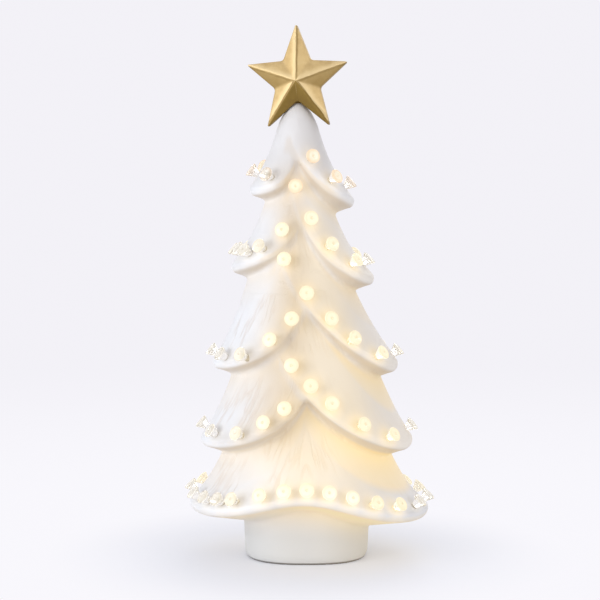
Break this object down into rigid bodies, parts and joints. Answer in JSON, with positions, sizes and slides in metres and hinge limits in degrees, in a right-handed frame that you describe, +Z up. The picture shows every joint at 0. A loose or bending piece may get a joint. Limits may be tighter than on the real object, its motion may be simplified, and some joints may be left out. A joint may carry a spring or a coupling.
{
  "type": "lighted tree",
  "caption": "Lighted porcelain tabletop tree with draped tiers, clear light pegs along each hem, a faceted star on top and a battery light module in the base.",
  "frame": {"origin": "middle of the foot, on the surface that the tree stands on", "axes": "+Z up through the tree, -Y towards the front view with the low valley of the tiers, +X to the right of that view"},
  "size_m": [0.1287, 0.114, 0.27],
  "materials": {
    "porcelain": "satin white glaze, translucent where the wall is thin",
    "star_gold": "matt gold paint with darker edges",
    "peg_clear": "clear moulded acrylic",
    "casing": "fine moulded texture",
    "foam": "soft foam",
    "contact_metal": "nickel plated spring steel",
    "cell_jacket": "plain printed sleeve on a steel can",
    "board": "green solder mask",
    "led_lens": "clear warm-white lens",
    "switch_plastic": "black moulded plastic",
    "wire_red": "soft insulation",
    "wire_black": "soft insulation",
    "screw_steel": "zinc plated"
  },
  "bodies": {
    "tree": {"cell_1": "cell_jacket", "cell_2": "cell_jacket", "circuit_board": "board", "led_1": "led_lens", "led_2": "led_lens", "led_3": "led_lens", "led_carrier": "casing", "light_peg_01": "peg_clear", "light_peg_02": "peg_clear", "light_peg_03": "peg_clear", "light_peg_04": "peg_clear", "light_peg_05": "peg_clear", "light_peg_06": "peg_clear", "light_peg_07": "peg_clear", "light_peg_08": "peg_clear", "light_peg_09": "peg_clear", "light_peg_10": "peg_clear", "light_peg_11": "peg_clear", "light_peg_12": "peg_clear", "light_peg_13": "peg_clear", "light_peg_14": "peg_clear", "light_peg_15": "peg_clear", "light_peg_16": "peg_clear", "light_peg_17": "peg_clear", "light_peg_18": "peg_clear", "light_peg_19": "peg_clear", "light_peg_20": "peg_clear", "light_peg_21": "peg_clear", "light_peg_22": "peg_clear", "light_peg_23": "peg_clear", "light_peg_24": "peg_clear", "light_peg_25": "peg_clear", "light_peg_26": "peg_clear", "light_peg_27": "peg_clear", "light_peg_28": "peg_clear", "light_peg_29": "peg_clear", "light_peg_30": "peg_clear", "light_peg_31": "peg_clear", "light_peg_32": "peg_clear", "light_peg_33": "peg_clear", "light_peg_34": "peg_clear", "light_peg_35": "peg_clear", "light_peg_36": "peg_clear", "minus_spring": "contact_metal", "module_case": "casing", "plus_contact": "contact_metal", "screw_1": "screw_steel", "screw_2": "screw_steel", "seal_ring": "foam", "star": "star_gold", "switch_body": "switch_plastic", "tree_body": "porcelain", "wire_black": "wire_black", "wire_red": "wire_red"},
    "door": {"battery_door": "casing", "door_bridge": "contact_metal"},
    "slider": {"switch_slider": "switch_plastic"}
  },
  "joints": [
    {"name": "door_hinge", "type": "hinge", "parent": "tree", "child": "door", "pos_m": [0, 0.0115, 0.0017], "axis": [1, 0, 0], "range_deg": [0, 100]},
    {"name": "switch_slide", "type": "slide", "parent": "tree", "child": "slider", "axis": [-1, 0, 0], "range_m": [0, 0.003]}
  ]
}
